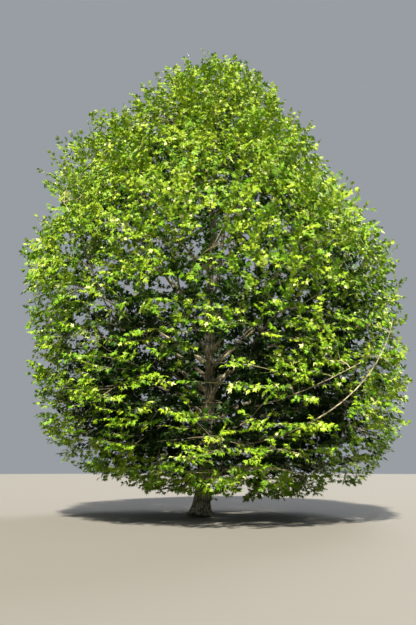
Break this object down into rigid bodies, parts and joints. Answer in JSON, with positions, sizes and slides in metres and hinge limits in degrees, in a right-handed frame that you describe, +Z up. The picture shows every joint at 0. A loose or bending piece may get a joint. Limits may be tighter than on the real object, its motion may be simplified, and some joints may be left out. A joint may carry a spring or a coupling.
{
  "type": "maple tree",
  "caption": "Broad-crowned maple tree in spring leaf: a straight tapering trunk, spreading boughs and a full egg-shaped crown of lobed leaves that hangs nearly to the ground.",
  "frame": {"origin": "middle of the flat cut under the trunk, at ground level", "axes": "+Z up along the trunk; -Y is the side that faced the viewer; +X to the viewer's right"},
  "size_m": [13.3073, 13.5017, 16.8652],
  "materials": {
    "trunk_bark": "rough, shallowly fissured grey-brown bark",
    "bough_bark": "smoother grey-olive bark",
    "foliage": "thin matt spring leaves, fresh yellow-green"
  },
  "bodies": {
    "root": {"trunk": "trunk_bark", "bough_01": "bough_bark", "bough_02": "bough_bark", "bough_03": "bough_bark", "bough_04": "bough_bark", "bough_05": "bough_bark", "bough_06": "bough_bark", "bough_07": "bough_bark", "bough_08": "bough_bark", "bough_09": "bough_bark", "bough_10": "bough_bark", "bough_11": "bough_bark", "bough_12": "bough_bark", "bough_13": "bough_bark", "bough_14": "bough_bark", "bough_15": "bough_bark", "bough_16": "bough_bark", "bough_17": "bough_bark", "bough_18": "bough_bark", "bough_19": "bough_bark", "bough_20": "bough_bark", "bough_21": "bough_bark", "bough_22": "bough_bark", "bough_23": "bough_bark", "bough_24": "bough_bark", "bough_25": "bough_bark", "bough_26": "bough_bark", "bough_27": "bough_bark", "bough_28": "bough_bark", "bough_29": "bough_bark", "foliage_01": "foliage", "foliage_02": "foliage", "foliage_03": "foliage", "foliage_04": "foliage", "foliage_05": "foliage", "foliage_06": "foliage", "foliage_07": "foliage", "foliage_08": "foliage", "foliage_09": "foliage", "foliage_10": "foliage", "foliage_11": "foliage", "foliage_12": "foliage", "foliage_13": "foliage", "foliage_14": "foliage", "foliage_15": "foliage", "foliage_16": "foliage", "foliage_17": "foliage", "foliage_18": "foliage", "foliage_19": "foliage", "foliage_20": "foliage", "foliage_21": "foliage", "foliage_22": "foliage", "foliage_23": "foliage", "foliage_24": "foliage", "foliage_25": "foliage", "foliage_26": "foliage", "foliage_27": "foliage", "foliage_28": "foliage", "foliage_29": "foliage", "foliage_top": "foliage"}
  },
  "joints": []
}
